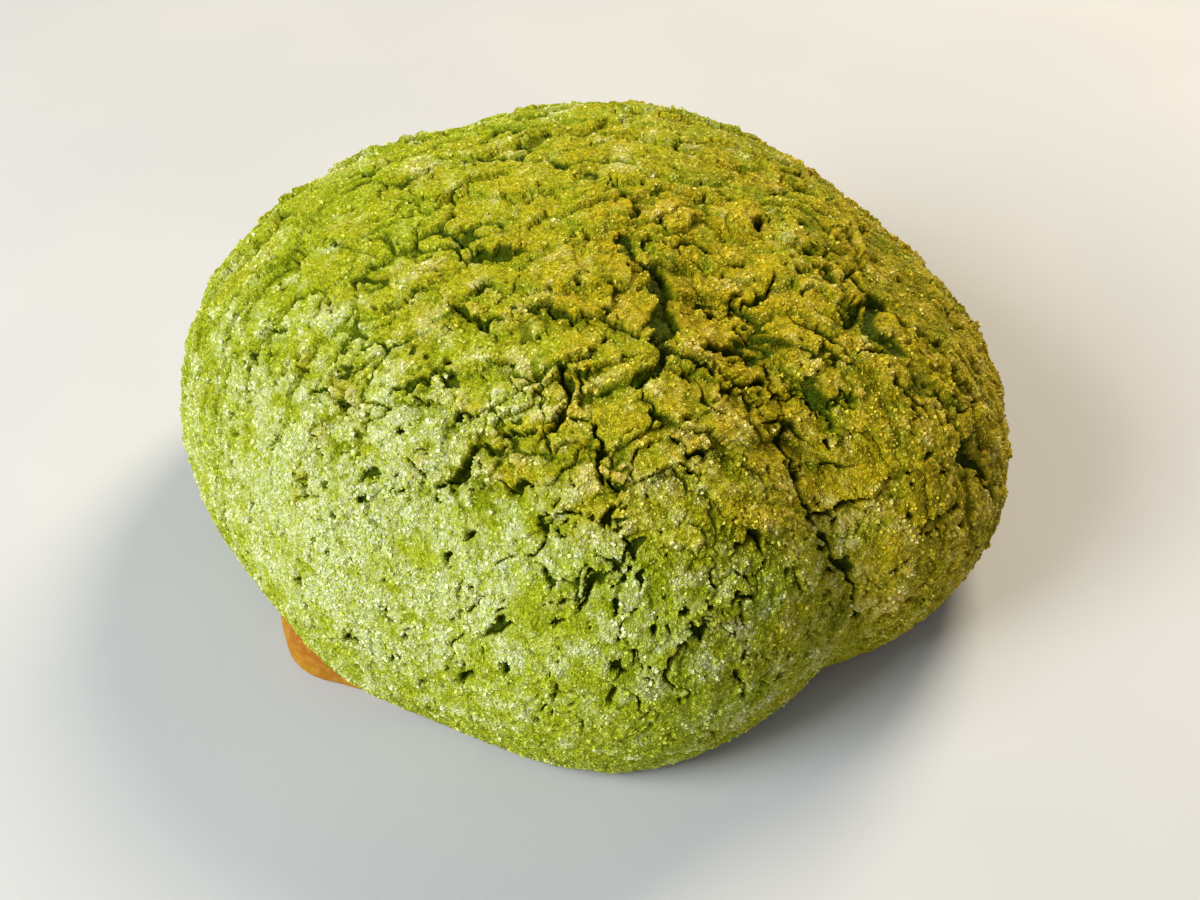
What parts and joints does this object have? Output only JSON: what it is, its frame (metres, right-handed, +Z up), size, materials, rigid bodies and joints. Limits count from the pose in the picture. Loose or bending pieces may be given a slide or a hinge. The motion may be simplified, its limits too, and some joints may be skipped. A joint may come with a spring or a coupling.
{
  "type": "melon pan bun",
  "caption": "Round soft bun under a crackled, sugared cookie crust, flat underneath, with the bread showing below the crust edge; food to set on a plate or sheet.",
  "frame": {"origin": "centre of the bounding box, on the plane the flat base of the bread rests on", "axes": "+Z up through the crown, +Y away from the side whose front dome swells, +X towards the lobe beside the fold"},
  "size_m": [0.1038, 0.0954, 0.0493],
  "materials": {
    "baked_bread": "thin baked skin, golden brown, slightly glossy where smooth",
    "cookie_crust": "dry crackled green tea cookie dough with sugar grains, rough"
  },
  "bodies": {
    "root": {"bread": "baked_bread", "cookie_crust": "cookie_crust"}
  },
  "joints": []
}
